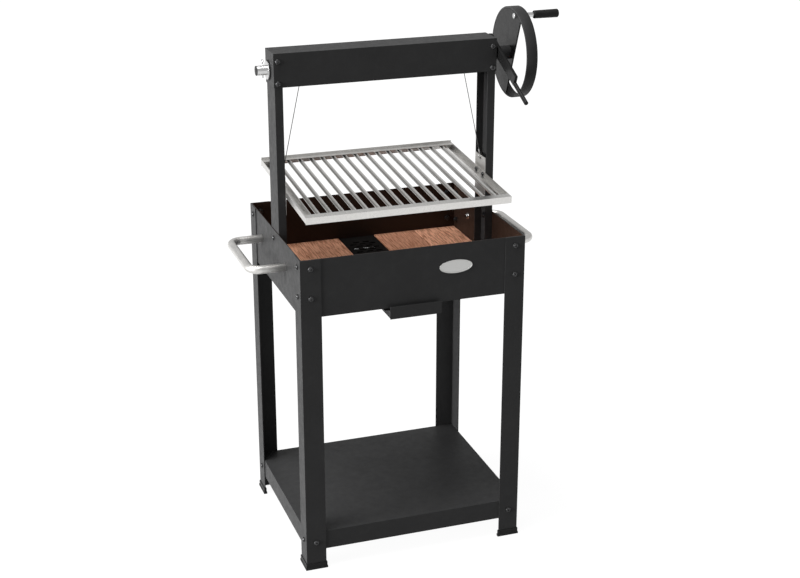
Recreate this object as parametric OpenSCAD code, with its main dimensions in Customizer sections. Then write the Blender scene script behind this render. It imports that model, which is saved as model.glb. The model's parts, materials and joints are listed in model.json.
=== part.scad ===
// Charcoal grill on four legs, with a cooking grate that a hand winch raises and lowers.
// X runs to the handwheel side, -Y is the front, +Z is up; the feet stand on Z = 0.

/* [Firebox] */
// Width of the firebox over its side panels
box_w = 600; // [560:1:660]
// Depth of the firebox over its front and rear panels
box_d = 500; // [480:1:560]
// Height of the firebox panels
box_h = 155; // [140:1:180]
// Height of the firebox's top edge above the ground
top_z = 875; // [840:1:920]
// Thickness of the fire bricks
brick_t = 22; // [18:1:30]
// Width of the ash strip between the bricks
ash_w = 104; // [96:1:110]

/* [Legs and shelf] */
// Flange width of the corner legs
leg_w = 54; // [48:1:60]
// Sheet thickness of the corner legs
leg_t = 2.5; // [2:0.5:3]
// Height of the shelf's top face
shelf_z = 108; // [100:1:160]
// Depth of the shelf's folded edge
shelf_h = 53; // [40:1:60]

/* [Lifting frame] */
// Height of the beam's top face
beam_top = 1349; // [1340:1:1380]
// Height of the beam
beam_h = 87; // [84:1:90]
// Depth of the beam, front to rear
beam_d = 80; // [76:1:84]
// Width of the uprights' side flanges
upright_w = 21; // [20:0.5:22]
// Height of the winch shaft's axis
shaft_z = 1298; // [1296:1:1300]
// Distance of the shaft's axis behind the middle of the beam
shaft_y = 12; // [10:1:13]

/* [Handwheel] */
// Outer radius of the wheel
wheel_r = 120; // [110:1:130]
// Width of the wheel's rim
wheel_w = 30; // [24:1:32]
// Radius at which the crank grip turns
crank_r = 107.5; // [95:0.5:108]
// Length of the crank grip
grip_len = 70; // [60:1:90]

/* [Grate] */
// Height of the middle of the grate
grate_z = 990; // [970:1:1000]
// Depth of the grate along its slope
grate_len = 443; // [420:1:450]
// Forward slope of the grate in degrees
grate_tilt = 4.1; // [3:0.1:5]
// Number of bars
bar_count = 16; // [12:1:17]

/* [Ash drawer] */
// Width of the drawer body
drawer_w = 136; // [120:2:140]
// Height of the drawer's underside
drawer_z = 693; // [690:1:700]

/* [Handles] */
// Distance between a handle's two arms
handle_span = 240; // [200:5:260]
// Distance that a handle stands out from the side panel
handle_out = 90; // [70:1:100]
// Height of the handles
handle_z = 808; // [790:1:820]

/* [Hidden] */
$fn = 64;

black = "#262626";
soot = "#231815";
steel = "#c9c7c3";
clay = "#b9826a";

sheet = 2;                        // thickness of the panels, uprights, beam and shelf
gap = 0.2;                        // easy fit between pieces that are bolted together
bx = box_w / 2;                   // outer face of a side panel
by = box_d / 2;                   // outer face of the front or rear panel
box_z = top_z - box_h;            // lower edge of the panels
fold_w = 18;                      // width of a panel's folded lower edge
floor_top = box_z + 2 * sheet;    // top of the firebox floor
bolt_z = [top_z - 24, box_z + 52];// heights of the two rows of leg bolts
leg_mid = leg_w / 2 - leg_t;      // from a panel's edge in to a leg's bolts

// Fasteners: head radius, head height, shank radius, nut radius, nut height
m8 = [7, 4.4, 3.9, 7.4, 6.5];
m6 = [5.3, 3.3, 2.9, 5.7, 5];
hole_play = 0.3;

// Feet
foot_h = 17.6;
foot_floor = 3;
foot_wall = 2.2;
skirt_wall = 3.5;
skirt_h = 6;

// Lifting frame
web_x = bx - sheet;               // outer face of an upright's web
tip_x = web_x - upright_w;        // inner edge of an upright's flanges
up_y = beam_d / 2 - sheet;        // outer face of an upright's flange
up_low = floor_top + brick_t + 4; // lower end of an upright
beam_z = beam_top - beam_h;
shaft_r = 12.5;
shaft_bore = 10;
run_play = 0.05;
bush_r = 15.5;
bush_flange_r = 26;
bush_flange_t = 2;
shaft_left = -bx - 31;
pin_x = -bx - 15;
beam_bolt_x = bx - 11;
beam_bolt_z = [beam_z + 10, beam_top - 21];
upright_bolt_y = 12;

// Ropes: they leave the shaft in front, so they hang in one upright plane
rope_r = 1;
rope_y = shaft_y - shaft_r - rope_r;
coil_x = 213;
coil_pitch = 2.2;
coil_turns = 6;
eye_hole_z = grate_z + 29;
eye_r = 6;
ferrule_r = 2.4;
rope_top = [coil_x + coil_pitch, shaft_z];
rope_low = [tip_x - 6.6, eye_hole_z + 24.5];
ferrule_low = [tip_x - 3.4, eye_hole_z + 10];

// Grate, in its own sloping frame with Z = 0 at its top
half_w = tip_x - 1.6;             // outer face of a side rail
half_l = grate_len / 2;
rail_t = 1.5;
rail_h = 16;
gutter_w = 23;
gutter_in = 12;
flange_w = 22;
apron_h = 18;
rear_lip = 5;
bar_w = 13;
bar_h = 9;
bar_t = 1.4;
bar_top = -rail_t - 0.1;
bar_pitch = 2 * (half_w - 38) / (bar_count - 1);
slider_h = [65, 37];              // how far a slider reaches below and above the grate's middle
slider_t = 2;
slider_in = half_w + 0.1;         // face of a slider that the grate is screwed to
slide_play = 0.6;
screw_y = 23;
screw_drop = 9;

// Handwheel
wheel_x = bx + 57;
rim_t = 5;
plate_t = 4;
chord = 29;                       // the plate's straight edge stands this far ahead of the axis
chord_turn = 22;
hub_r = 18;
hub_x = bx + 16;
crank_turn = 18;
pin_r = 5;
grip_x = wheel_x + wheel_w + 22;
grip_r = [10.6, 11.2];
grip_end = grip_x + grip_len;

// Brake lever, in its own frame: it slopes down to the front over the top of the shaft
lever_x = bx + 3.5;
lever_t = 8;
lever_half = 14;
lever_slope = 24;
pad_t = 3;
lever_up = shaft_r + 0.3 + pad_t + lever_half;
pivot_back = 24;
pivot_r = 5;
lever_front = 164;
rod_r = 5.5;
rod_end = 247;

// Ash drawer
drawer_t = 1.5;
drawer_front = by + 12;
drawer_rear = by - 35;
drawer_top = drawer_z + 20.5;
rim_w = 10.5;
lip_top = box_z + 7;
runner_len = box_d - 2 * fold_w - 2 * sheet - 2;

// Handles
tube_r = 11;
tube_bore = 9.4;
bend_r = 30;
handle_y = 20;
plug = 14;

// Badge
badge_at = [112, 813];
badge_size = [45, 18];

// The machine stands so that its whole envelope is centred on the origin
reach_left = bx + handle_out + tube_r;
bolt_out = by + leg_t + m8[1];
stand_x = (reach_left - grip_end) / 2;
stand_y = (drawer_front - bolt_out) / 2;

module place() {
  translate([stand_x, stand_y, 0]) children();
}

// Draws its children for the left side; turned to the right side when side is 1
module on_side(side) {
  if (side > 0) mirror([1, 0, 0]) children();
  else children();
}

// Lies along X with its axis on the winch shaft
module on_shaft(x) {
  translate([x, shaft_y, shaft_z]) rotate([0, 90, 0]) children();
}

// A button-head bolt with its nut: the head stands on Z = 0, the shank goes down through grip
module bolt(size, grip) {
  difference() {
    union() {
      cylinder(h = size[1] / 2, r = size[0]);
      translate([0, 0, size[1] / 2]) cylinder(h = size[1] / 2, r1 = size[0], r2 = size[0] * 0.66);
    }
    translate([0, 0, size[1] * 0.4]) cylinder(h = size[1], r = size[0] * 0.4, $fn = 6);
  }
  translate([0, 0, -grip - size[4] - 2]) cylinder(h = grip + size[4] + 2.1, r = size[2]);
  translate([0, 0, -grip - size[4]]) rotate(30) cylinder(h = size[4], r = size[3], $fn = 6);
}

// A hole for such a bolt, through anything near Z = 0
module bolt_hole(size, depth = 12) {
  translate([0, 0, -depth]) cylinder(h = 2 * depth, r = size[2] + hole_play);
}

// Places children at every leg bolt of one face, looking along that face's outward normal
module leg_bolts_y(sy, heights, face) {
  for (sx = [-1, 1], z = heights)
    translate([sx * (bx - leg_mid), sy * face, z]) rotate([-sy * 90, 0, 0]) children();
}

module leg_bolts_x(sx, heights, face) {
  for (sy = [-1, 1], z = heights)
    translate([sx * face, sy * (by - leg_mid), z]) rotate([0, sx * 90, 0]) children();
}

module handle_bolts_x(sx) {
  for (k = [-1, 1])
    translate([sx * bx, handle_y + k * handle_span / 2, handle_z]) rotate([0, sx * 90, 0]) children();
}

module upright_bolts_x(sx) {
  for (z = bolt_z)
    translate([sx * bx, upright_bolt_y, z]) rotate([0, sx * 90, 0]) children();
}

// ---- Firebox ----

module end_panel(sy) {
  difference() {
    union() {
      translate([-bx, sy > 0 ? by - sheet : -by, box_z]) cube([box_w, sheet, box_h]);
      translate([-bx + sheet + gap, sy > 0 ? by - fold_w : -by, box_z])
        cube([box_w - 2 * sheet - 2 * gap, fold_w, sheet]);
    }
    leg_bolts_y(sy, bolt_z, by) bolt_hole(m8);
  }
}

module front_panel() {
  color(black) place() end_panel(-1);
}

module rear_panel() {
  color(black) place() end_panel(1);
}

module side_panel(sx) {
  difference() {
    union() {
      translate([sx > 0 ? bx - sheet : -bx, -by + sheet + gap / 2, box_z])
        cube([sheet, box_d - 2 * sheet - gap, box_h]);
      translate([sx > 0 ? bx - fold_w : -bx, -by + fold_w + gap, box_z])
        cube([fold_w, box_d - 2 * fold_w - 2 * gap, sheet]);
    }
    leg_bolts_x(sx, bolt_z, bx) bolt_hole(m8);
    handle_bolts_x(sx) bolt_hole(m8);
    upright_bolts_x(sx) bolt_hole(m8);
  }
}

module left_panel() {
  color(black) place() side_panel(-1);
}

module right_panel() {
  color(black) place() side_panel(1);
}

module firebox_floor() {
  slot = [ash_w - 24, box_d - 56];
  color(soot) place() difference() {
    translate([-bx + sheet + gap, -by + sheet + gap, box_z + sheet])
      cube([box_w - 2 * sheet - 2 * gap, box_d - 2 * sheet - 2 * gap, sheet]);
    translate([-slot[0] / 2, -slot[1] / 2, box_z]) cube([slot[0], slot[1], 3 * sheet]);
  }
}

// Two columns of two loose bricks, from the ash strip to the side panel
module brick_pair(side) {
  brick_w = (bx - sheet - ash_w / 2 - 1.5) / 2;
  brick_d = by - sheet - 1.5;
  on_side(side)
    for (col = [0, 1], row = [-1, 0])
      translate([-bx + sheet + 0.5 + col * (brick_w + 0.5), row * (brick_d + 0.5) + 0.25, floor_top])
        cube([brick_w, brick_d, brick_t]);
}

module left_bricks() {
  color(clay) place() brick_pair(-1);
}

module right_bricks() {
  color(clay) place() brick_pair(1);
}

// Perforated channel that stands over the ash opening, with staggered rows of oblong holes
module ash_grate() {
  skin = 2.5;
  channel_h = brick_t - 2;
  plate_w = ash_w - 1;
  plate_d = box_d - 2 * sheet - 3;
  hole_w = 9;
  hole_l = 20;
  row_pitch = 16;
  rows = 26;
  color(black) place() difference() {
    translate([-plate_w / 2, -plate_d / 2, floor_top]) cube([plate_w, plate_d, channel_h]);
    translate([-plate_w / 2 + skin, -plate_d / 2 - 1, floor_top - skin])
      cube([plate_w - 2 * skin, plate_d + 2, channel_h]);
    for (row = [0 : rows - 1], col = [-1, 0, 1])
      if (row % 2 == 0 || col < 1)
        translate([col * 28 + (row % 2) * 14, (row - (rows - 1) / 2) * row_pitch, floor_top + 10])
          union() {
            translate([-(hole_l - hole_w) / 2, -hole_w / 2, 0]) cube([hole_l - hole_w, hole_w, brick_t]);
            for (k = [-1, 1])
              translate([k * (hole_l - hole_w) / 2, 0, 0]) cylinder(h = brick_t, d = hole_w, $fn = 24);
          }
  }
}

function ellipse(a, b, n = 64) = [for (k = [0 : n - 1]) [a * cos(k * 360 / n), b * sin(k * 360 / n)]];

// Blank oval plate with a raised rim
module badge() {
  color("#b8b8b5") place() translate([badge_at[0], -by, badge_at[1]]) rotate([90, 0, 0]) {
    linear_extrude(1.2) polygon(ellipse(badge_size[0], badge_size[1]));
    linear_extrude(2) difference() {
      polygon(ellipse(badge_size[0], badge_size[1]));
      polygon(ellipse(badge_size[0] - 2.5, badge_size[1] - 2.5));
    }
  }
}

// ---- Legs, feet and shelf ----

// Outline of a leg in plan, for the rear right corner, grown outwards and inwards
module leg_outline(grow = 0) {
  x = bx + leg_t;
  y = by + leg_t;
  translate([x - leg_w - grow, y - leg_t - grow]) square([leg_w + 2 * grow, leg_t + 2 * grow]);
  translate([x - leg_t - grow, y - leg_w - grow]) square([leg_t + 2 * grow, leg_w + 2 * grow]);
}

module at_corner(sx, sy) {
  mirror([sx < 0 ? 1 : 0, 0, 0]) mirror([0, sy < 0 ? 1 : 0, 0]) children();
}

module leg(sx, sy) {
  shelf_bolt_z = shelf_z - 29;
  difference() {
    at_corner(sx, sy)
      translate([0, 0, foot_floor + gap]) linear_extrude(top_z - foot_floor - gap) leg_outline();
    leg_bolts_y(sy, concat(bolt_z, [shelf_bolt_z]), by) bolt_hole(m8);
    leg_bolts_x(sx, concat(bolt_z, [shelf_bolt_z]), bx) bolt_hole(m8);
  }
}

module leg_front_left() {
  color(black) place() leg(-1, -1);
}

module leg_front_right() {
  color(black) place() leg(1, -1);
}

module leg_rear_left() {
  color(black) place() leg(-1, 1);
}

module leg_rear_right() {
  color(black) place() leg(1, 1);
}

module foot(sx, sy) {
  at_corner(sx, sy) difference() {
    union() {
      linear_extrude(skirt_h) leg_outline(skirt_wall);
      linear_extrude(foot_h) leg_outline(foot_wall);
    }
    translate([0, 0, foot_floor]) linear_extrude(foot_h) leg_outline(0.15);
  }
}

module foot_front_left() {
  color("#161616") place() foot(-1, -1);
}

module foot_front_right() {
  color("#161616") place() foot(1, -1);
}

module foot_rear_left() {
  color("#161616") place() foot(-1, 1);
}

module foot_rear_right() {
  color("#161616") place() foot(1, 1);
}

module shelf() {
  low = shelf_z - shelf_h;
  bolt_row = [shelf_z - 29];
  color(black) place() difference() {
    translate([-bx + gap, -by + gap, low]) cube([box_w - 2 * gap, box_d - 2 * gap, shelf_h]);
    translate([-bx + gap + sheet, -by + gap + sheet, low - 1])
      cube([box_w - 2 * gap - 2 * sheet, box_d - 2 * gap - 2 * sheet, shelf_h - sheet + 1]);
    for (s = [-1, 1]) {
      leg_bolts_y(s, bolt_row, by) bolt_hole(m8);
      leg_bolts_x(s, bolt_row, bx) bolt_hole(m8);
    }
  }
}

// ---- Uprights, beam and bushes ----

// Channel that opens towards the grate, bolted inside a side panel
module upright(side) {
  on_side(side) difference() {
    translate([-web_x, -up_y, up_low]) cube([upright_w, 2 * up_y, beam_top - sheet - gap - up_low]);
    translate([-web_x + sheet, -up_y + sheet, up_low - 1])
      cube([upright_w, 2 * (up_y - sheet), beam_top - up_low + 2]);
    upright_bolts_x(-1) bolt_hole(m8);
    on_shaft(-bx - 1) cylinder(h = 10, r = bush_r + 0.1);
    beam_bolts_at(-1) bolt_hole(m8, 6);
    on_side(side) pivot_axis() bolt_hole(m6, 12);
  }
}

module beam_bolts_at(sx) {
  for (sy = [-1, 1], z = beam_bolt_z)
    translate([sx * beam_bolt_x, sy * beam_d / 2, z]) rotate([-sy * 90, 0, 0]) children();
}

module left_upright() {
  color(black) place() upright(-1);
}

module right_upright() {
  color(black) place() upright(1);
}

// Folded cover over both uprights, open below
module top_beam() {
  color(black) place() difference() {
    translate([-bx, -beam_d / 2, beam_z]) cube([box_w, beam_d, beam_h]);
    translate([-bx + sheet, -beam_d / 2 + sheet, beam_z - 1])
      cube([box_w - 2 * sheet, beam_d - 2 * sheet, beam_h - sheet + 1]);
    on_shaft(-bx - 1) cylinder(h = box_w + 2, r = bush_r + 0.1);
    for (sx = [-1, 1]) beam_bolts_at(sx) bolt_hole(m8, 6);
    pivot_axis() bolt_hole(m6, 12);
  }
}

// Flanged bush that carries the shaft in the beam's end and the upright behind it
module bush(side) {
  on_side(side) on_shaft(-bx - bush_flange_t) difference() {
    union() {
      cylinder(h = bush_flange_t, r = bush_flange_r);
      cylinder(h = bush_flange_t + 2 * sheet, r = bush_r);
    }
    translate([0, 0, -1]) cylinder(h = 10, r = shaft_r + run_play);
  }
}

module left_bush() {
  color("#1a1a1a") place() bush(-1);
}

module right_bush() {
  color("#1a1a1a") place() bush(1);
}

// ---- Ash drawer ----

// Angle under the floor that carries the drawer's rim
module runner(side) {
  edge = drawer_w / 2;
  ledge_top = drawer_top - drawer_t - 0.4;
  on_side(side) translate([0, runner_len / 2, 0]) rotate([90, 0, 0]) linear_extrude(runner_len)
    polygon([
      [-edge - 1, ledge_top - drawer_t], [-edge - 1, ledge_top],
      [-edge - rim_w - 1, ledge_top], [-edge - rim_w - 1, box_z + sheet],
      [-edge - rim_w - 14, box_z + sheet], [-edge - rim_w - 14, box_z + sheet - drawer_t],
      [-edge - rim_w - 1 - drawer_t, box_z + sheet - drawer_t],
      [-edge - rim_w - 1 - drawer_t, ledge_top - drawer_t]
    ]);
}

module left_runner() {
  color(black) place() runner(-1);
}

module right_runner() {
  color(black) place() runner(1);
}

// Open tray with a turned-out rim on both sides and a tall front plate
module ash_drawer() {
  edge = drawer_w / 2;
  length = drawer_front + drawer_rear;
  color(black) place() difference() {
    union() {
      translate([-edge, -drawer_front, drawer_z]) cube([drawer_w, length, drawer_top - drawer_z]);
      translate([-edge - rim_w, -by + 5, drawer_top - drawer_t])
        cube([drawer_w + 2 * rim_w, drawer_rear + by - 5, drawer_t]);
      translate([-edge - 2, -drawer_front, drawer_z]) cube([drawer_w + 4, drawer_t, lip_top - drawer_z]);
      translate([-edge, drawer_rear - drawer_t, drawer_z]) cube([drawer_w, drawer_t, box_z - drawer_z]);
    }
    translate([-edge + drawer_t, -drawer_front + drawer_t, drawer_z + drawer_t])
      cube([drawer_w - 2 * drawer_t, length - 2 * drawer_t, 100]);
  }
}

// ---- Handles ----

// U of round tube with plugged ends, standing out from the left panel
module handle_tube(r) {
  half = handle_span / 2 - bend_r;
  out = handle_out - bend_r;
  for (k = [-1, 1])
    translate([-bx, k * handle_span / 2, 0]) rotate([0, -90, 0]) cylinder(h = out, r = r);
  translate([-bx - handle_out, half, 0]) rotate([90, 0, 0]) cylinder(h = 2 * half, r = r);
  translate([-bx - out, half, 0]) rotate(90) rotate_extrude(angle = 90) translate([bend_r, 0]) circle(r);
  translate([-bx - out, -half, 0]) rotate(180) rotate_extrude(angle = 90) translate([bend_r, 0]) circle(r);
}

module handle(side) {
  on_side(side) translate([0, handle_y, handle_z]) difference() {
    handle_tube(tube_r);
    difference() {
      handle_tube(tube_bore);
      translate([-bx - plug, -handle_span, -20]) cube([plug + 1, 2 * handle_span, 40]);
    }
    for (k = [-1, 1])
      translate([-bx - plug - 1, k * handle_span / 2, 0]) rotate([0, 90, 0])
        cylinder(h = plug + 2, r = m8[2] + hole_play);
  }
}

module left_handle() {
  color(steel) place() handle(-1);
}

module right_handle() {
  color(steel) place() handle(1);
}

// Screws from inside the firebox into the handles' plugs, each with a washer
module handle_bolts() {
  color(steel) place()
    for (s = [-1, 1])
      handle_bolts_x(s) rotate([180, 0, 0]) {
        translate([0, 0, sheet + 1.5]) cylinder(h = m8[1], r = m8[0]);
        translate([0, 0, sheet]) cylinder(h = 1.5, r = 10);
        translate([0, 0, -12]) cylinder(h = 12 + sheet, r = m8[2]);
      }
}

// ---- Fastener groups ----

module panel_bolts() {
  stack = leg_t + sheet;
  color(black) place()
    for (s = [-1, 1]) {
      leg_bolts_y(s, bolt_z, by + leg_t) bolt(m8, stack);
      leg_bolts_x(s, bolt_z, bx + leg_t) bolt(m8, stack);
    }
}

module shelf_bolts() {
  stack = leg_t + sheet + gap;
  color(black) place()
    for (s = [-1, 1]) {
      leg_bolts_y(s, [shelf_z - 29], by + leg_t) bolt(m8, stack);
      leg_bolts_x(s, [shelf_z - 29], bx + leg_t) bolt(m8, stack);
    }
}

module upright_bolts() {
  color(black) place()
    for (s = [-1, 1]) upright_bolts_x(s) bolt(m8, 2 * sheet);
}

module beam_bolts() {
  color(black) place()
    for (s = [-1, 1]) beam_bolts_at(s) bolt(m8, 2 * sheet);
}

// ---- Grate and its sliders ----

module on_grate() {
  translate([0, 0, grate_z]) rotate([grate_tilt, 0, 0]) children();
}

// Side rail in section: an outer wall, a grease gutter and a lower inner wall
module gutter(side) {
  on_side(side) translate([0, half_l, 0]) rotate([90, 0, 0]) linear_extrude(grate_len)
    polygon([
      [-half_w, 0], [-half_w, -rail_h], [-half_w + gutter_w, -rail_h],
      [-half_w + gutter_w, -rail_h + gutter_in], [-half_w + gutter_w - rail_t, -rail_h + gutter_in],
      [-half_w + gutter_w - rail_t, -rail_h + rail_t], [-half_w + rail_t, -rail_h + rail_t],
      [-half_w + rail_t, 0]
    ]);
}

module screw_axis(sx) {
  for (y = [-screw_y, screw_y])
    translate([sx * half_w, y, grate_z - screw_drop + y * sin(grate_tilt)])
      rotate([0, -sx * 90, 0]) children();
}

module grate_frame() {
  color(steel) place() difference() {
    on_grate() union() {
      for (s = [-1, 1]) gutter(s);
      translate([-half_w, -half_l, -rail_t]) cube([2 * half_w, flange_w, rail_t]);
      translate([-half_w, -half_l, -apron_h]) cube([2 * half_w, rail_t, apron_h]);
      translate([-half_w, half_l - flange_w, -rail_t]) cube([2 * half_w, flange_w, rail_t]);
      translate([-half_w, half_l - rail_t, -apron_h]) cube([2 * half_w, rail_t, apron_h + rear_lip]);
    }
    for (s = [-1, 1]) screw_axis(s) bolt_hole(m6, 6);
  }
}

// V-shaped bars that carry the fat to the front rail
module grate_bars() {
  length = grate_len - 2 * rail_t - 0.4;
  skin = bar_t * sqrt(pow(bar_w / 2, 2) + pow(bar_h, 2)) / bar_h;
  color(steel) place() on_grate()
    for (k = [0 : bar_count - 1])
      translate([(k - (bar_count - 1) / 2) * bar_pitch, length / 2, bar_top])
        rotate([90, 0, 0]) linear_extrude(length)
          polygon([
            [-bar_w / 2, 0], [0, -bar_h], [bar_w / 2, 0],
            [bar_w / 2 - skin, 0], [0, -bar_h + skin * 2 * bar_h / bar_w], [-bar_w / 2 + skin, 0]
          ]);
}

// Channel that runs inside an upright; its web faces the grate and carries the rope's eye
module slider(side) {
  reach = web_x - sheet - slide_play - slider_in;
  width = 2 * (up_y - sheet - slide_play);
  height = slider_h[0] + slider_h[1];
  on_side(side) difference() {
    translate([-slider_in - reach, -width / 2, grate_z - slider_h[0]]) cube([reach, width, height]);
    translate([-slider_in - reach - 1, -width / 2 + slider_t, grate_z - slider_h[0] - 1])
      cube([reach + 1 - slider_t, width - 2 * slider_t, height + 2]);
    translate([-half_w - 5, rope_y, eye_hole_z]) rotate([0, 90, 0]) cylinder(h = 10, r = 4);
    screw_axis(-1) bolt_hole(m6, 6);
  }
}

module left_slider() {
  color(steel) place() slider(-1);
}

module right_slider() {
  color(steel) place() slider(1);
}

module slider_screws() {
  color("#3a3a3a") place()
    for (s = [-1, 1])
      screw_axis(s) translate([0, 0, rail_t]) bolt(m6, slider_in - half_w + rail_t + slider_t);
}

// ---- Ropes ----

// Round bar between two points of the ropes' plane, each given as [distance from centre, height]
module rope_bar(a, b, r) {
  run = b - a;
  translate([-a[0], rope_y, a[1]]) rotate([0, atan2(-run[0], run[1]), 0])
    cylinder(h = norm(run), r = r, $fn = 24);
}

// Loop of rope through a slider's web, closed by a pressed sleeve
module rope_eye(side) {
  on_side(side) {
    translate([-slider_in - slider_t / 2, rope_y, eye_hole_z + 4]) rotate([90, 0, 0])
      rotate_extrude($fn = 48) translate([eye_r, 0]) circle(rope_r, $fn = 24);
    rope_bar(ferrule_low, rope_low, ferrule_r);
  }
}

module left_rope_eye() {
  color(steel) place() rope_eye(-1);
}

module right_rope_eye() {
  color(steel) place() rope_eye(1);
}

module rope(side) {
  run = rope_top - rope_low;
  start = rope_low + run * 0.4 / norm(run);
  on_side(side) rope_bar(start, rope_top, rope_r);
}

module left_rope() {
  color("#9a9a9a") place() rope(-1);
}

module right_rope() {
  color("#9a9a9a") place() rope(1);
}

// Turns of rope that lie on the shaft
module rope_coil(side) {
  on_side(side)
    for (k = [0 : coil_turns - 1])
      on_shaft(-coil_x + k * coil_pitch)
        rotate_extrude($fn = 48) translate([shaft_r + rope_r + 0.05, 0]) circle(rope_r, $fn = 24);
}

module left_rope_coil() {
  color("#9a9a9a") place() rope_coil(-1);
}

module right_rope_coil() {
  color("#9a9a9a") place() rope_coil(1);
}

// ---- Winch shaft and handwheel ----

module winch_shaft() {
  shaft_right = wheel_x + plate_t + 8;
  color(steel) place() difference() {
    on_shaft(shaft_left) cylinder(h = shaft_right - shaft_left, r = shaft_r);
    on_shaft(shaft_left - 1) cylinder(h = shaft_right - shaft_left + 2, r = shaft_bore);
    translate([pin_x, shaft_y, shaft_z - 20]) cylinder(h = 40, r = 2);
  }
}

// Plastic plug that closes the tube's left end
module shaft_plug() {
  color("#161616") place() {
    on_shaft(shaft_left - 2) cylinder(h = 2, r = shaft_r);
    on_shaft(shaft_left - 1) cylinder(h = 9, r = shaft_bore);
  }
}

module shaft_washer() {
  color(steel) place() on_shaft(-bx - bush_flange_t - 3.3) difference() {
    cylinder(h = 3, r = 24);
    translate([0, 0, -1]) cylinder(h = 5, r = shaft_r + 0.1);
  }
}

// Pin through the shaft outside the washer, with a round eye on top
module split_pin() {
  color(steel) place() translate([pin_x, shaft_y, shaft_z]) {
    translate([0, 0, -19]) cylinder(h = 38, r = 1.8, $fn = 24);
    translate([0, 0, 23]) rotate([0, 90, 0])
      rotate_extrude($fn = 36) translate([4.6, 0]) circle(1.6, $fn = 16);
  }
}

module wheel_hub() {
  color(black) place() on_shaft(hub_x) difference() {
    cylinder(h = wheel_x - hub_x, r = hub_r);
    translate([0, 0, -1]) cylinder(h = wheel_x - hub_x + 2, r = shaft_r + 0.1);
  }
}

// Draws in the wheel's plane: children's X is to the rear and Y is up, turned with the chord
module in_wheel(turn = 0) {
  translate([wheel_x, shaft_y, shaft_z]) rotate([90, 0, 90]) rotate(turn) children();
}

module wheel_rim() {
  color(black) place() in_wheel() difference() {
    cylinder(h = wheel_w, r = wheel_r, $fn = 128);
    translate([0, 0, -1]) cylinder(h = wheel_w + 2, r = wheel_r - rim_t, $fn = 128);
  }
}

// Disc with a straight front edge
module wheel_plate() {
  inner = wheel_r - rim_t - 0.1;
  color(black) place() difference() {
    in_wheel(chord_turn) linear_extrude(plate_t) difference() {
      circle(inner, $fn = 128);
      translate([-2 * inner - chord, -inner]) square([2 * inner, 2 * inner]);
    }
    on_shaft(wheel_x - 1) cylinder(h = plate_t + 2, r = shaft_r + 0.1);
    crank_axis() translate([0, 0, -1]) cylinder(h = plate_t + 2, r = pin_r + 0.1);
  }
}

module crank_axis() {
  translate([wheel_x, shaft_y - crank_r * sin(crank_turn), shaft_z + crank_r * cos(crank_turn)])
    rotate([0, 90, 0]) children();
}

// Pin with a round head behind the plate, a collar before it and a retaining head in the grip
module crank_pin() {
  reach = grip_end - wheel_x;
  color("#d0d0d0") place() crank_axis() {
    translate([0, 0, -4]) cylinder(h = 4, r = 7);
    translate([0, 0, -0.1]) cylinder(h = reach - 7.9, r = pin_r);
    translate([0, 0, plate_t]) cylinder(h = grip_x - wheel_x - plate_t - 0.4, r = 6.5);
    translate([0, 0, reach - 8]) cylinder(h = 4, r = 7.5);
  }
}

// Grip that turns on the pin; its bore hides the pin's head
module crank_grip() {
  color("#161616") place() crank_axis() translate([0, 0, grip_x - wheel_x]) difference() {
    union() {
      cylinder(h = 2, r1 = grip_r[0] - 2, r2 = grip_r[0]);
      translate([0, 0, 2]) cylinder(h = grip_len - 4, r1 = grip_r[0], r2 = grip_r[1]);
      translate([0, 0, grip_len - 2]) cylinder(h = 2, r1 = grip_r[1], r2 = grip_r[1] - 2);
    }
    translate([0, 0, -1]) cylinder(h = grip_len, r = pin_r + run_play);
    translate([0, 0, grip_len - 8.5]) cylinder(h = 10, r = 8);
  }
}

// ---- Brake lever ----

// Lever frame: X is out from the beam, Y along the lever to the rear, Z square to it
module in_lever() {
  translate([lever_x, shaft_y, shaft_z]) rotate([lever_slope, 0, 0]) translate([0, 0, lever_up]) children();
}

module pivot_axis() {
  translate([bx, 0, 0]) translate([0, shaft_y, shaft_z]) rotate([lever_slope, 0, 0])
    translate([0, pivot_back, lever_up]) rotate([0, 90, 0]) children();
}

// Flat bar over the shaft, with a round rod for the hand
module brake_lever() {
  color(black) place() in_lever() difference() {
    union() {
      translate([0, -lever_front, -lever_half]) cube([lever_t, lever_front + pivot_back, 2 * lever_half]);
      translate([0, pivot_back, 0]) rotate([0, 90, 0]) cylinder(h = lever_t, r = lever_half);
      translate([lever_t / 2, -lever_front + 1, -lever_half + rod_r]) rotate([90, 0, 0])
        cylinder(h = rod_end - lever_front + 1, r = rod_r);
    }
    translate([-1, pivot_back, 0]) rotate([0, 90, 0]) cylinder(h = lever_t + 2, r = pivot_r + run_play);
  }
}

// Friction block under the lever, hollowed to the shaft
module brake_pad() {
  color("#6b5a48") place() difference() {
    in_lever() translate([0, -9, -lever_half - pad_t - 4]) cube([lever_t, 18, pad_t + 4]);
    on_shaft(lever_x - 1) cylinder(h = lever_t + 2, r = shaft_r + 0.3);
  }
}

// Shoulder bolt through the lever, the beam's end and the upright
module lever_pivot() {
  head = lever_x - bx + lever_t + 0.3;
  color(steel) place() pivot_axis() {
    cylinder(h = lever_x - bx - 0.3, r = 8);
    cylinder(h = head + 0.1, r = pivot_r);
    translate([0, 0, head]) cylinder(h = 4, r = 8.5);
    translate([0, 0, -2 * sheet - m6[4] - 1]) cylinder(h = 2 * sheet + m6[4] + 1.1, r = m6[2]);
    translate([0, 0, -2 * sheet - m6[4]]) rotate(30) cylinder(h = m6[4], r = m6[3], $fn = 6);
  }
}

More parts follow.
